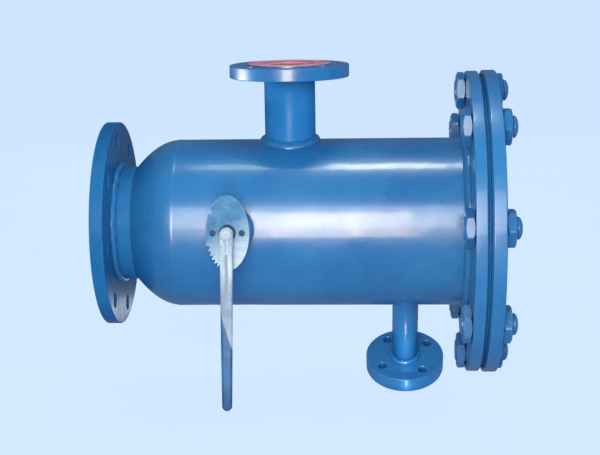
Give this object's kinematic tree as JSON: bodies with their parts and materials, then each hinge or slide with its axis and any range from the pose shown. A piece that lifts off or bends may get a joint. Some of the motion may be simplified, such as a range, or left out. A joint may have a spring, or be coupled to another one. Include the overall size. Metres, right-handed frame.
{
  "type": "back-flushing basket strainer",
  "caption": "Flanged steel basket strainer with domed inlet, top outlet nozzle, blow-down nozzle, bolted blind cover and a hand lever that turns an inner diverter disc.",
  "frame": {"origin": "centre of the inlet flange's gasket face", "axes": "+X along the body from the inlet to the blind cover, +Z the outlet nozzle's axis, -Y the side with the hand lever"},
  "size_m": [0.5645, 0.42, 0.4937],
  "materials": {
    "blue_enamel": "gloss",
    "outlet_flange_paint": "gloss, red primer on the raised face",
    "painted_fastener": "gloss",
    "gasket_sheet": "matte",
    "packing": "matte",
    "brass": "turned",
    "bronze": "turned",
    "zinc_plate": "bright zinc",
    "dark_screw": "blackened",
    "stainless": "satin",
    "plain_steel": "machined",
    "silver_lever": "satin cast",
    "blue_grip": "dipped vinyl"
  },
  "bodies": {
    "strainer_body": {"inlet_flange": "blue_enamel", "inlet_reducer": "blue_enamel", "body_shell": "blue_enamel", "body_flange": "blue_enamel", "end_cover": "blue_enamel", "outlet_pipe": "blue_enamel", "drain_pipe": "blue_enamel", "drain_flange": "blue_enamel", "spindle_boss": "blue_enamel", "outlet_flange": "outlet_flange_paint", "cover_gasket": "gasket_sheet", "cover_stud_1": "painted_fastener", "body_nut_1": "painted_fastener", "cover_nut_1": "painted_fastener", "cover_stud_2": "painted_fastener", "body_nut_2": "painted_fastener", "cover_nut_2": "painted_fastener", "cover_stud_3": "painted_fastener", "body_nut_3": "painted_fastener", "cover_nut_3": "painted_fastener", "cover_stud_4": "painted_fastener", "body_nut_4": "painted_fastener", "cover_nut_4": "painted_fastener", "cover_stud_5": "painted_fastener", "body_nut_5": "painted_fastener", "cover_nut_5": "painted_fastener", "cover_stud_6": "painted_fastener", "body_nut_6": "painted_fastener", "cover_nut_6": "painted_fastener", "cover_stud_7": "painted_fastener", "body_nut_7": "painted_fastener", "cover_nut_7": "painted_fastener", "cover_stud_8": "painted_fastener", "body_nut_8": "painted_fastener", "cover_nut_8": "painted_fastener", "gland_packing": "packing", "gland_nut": "brass", "index_plate": "zinc_plate", "index_screw_1": "dark_screw", "index_screw_2": "dark_screw", "diverter_seat": "plain_steel", "front_bush": "bronze", "rear_bush": "bronze", "front_partition": "plain_steel", "rear_partition": "plain_steel", "screen_front": "stainless", "screen_rear": "stainless", "screen_end_ring": "stainless", "screen_screw_1": "stainless", "screen_screw_2": "stainless", "screen_screw_3": "stainless", "screen_screw_4": "stainless"},
    "lever_assembly": {"spindle": "stainless", "diverter_disc": "bronze", "disc_pin_1": "stainless", "disc_pin_2": "stainless", "hand_lever": "silver_lever", "lever_grip": "blue_grip", "lever_screw": "silver_lever"}
  },
  "joints": [
    {"name": "lever_turn", "type": "hinge", "parent": "strainer_body", "child": "lever_assembly", "pos_m": [0.1865, 0, 0], "axis": [0, 0.9945, -0.1045], "range_deg": [0, 90]}
  ]
}
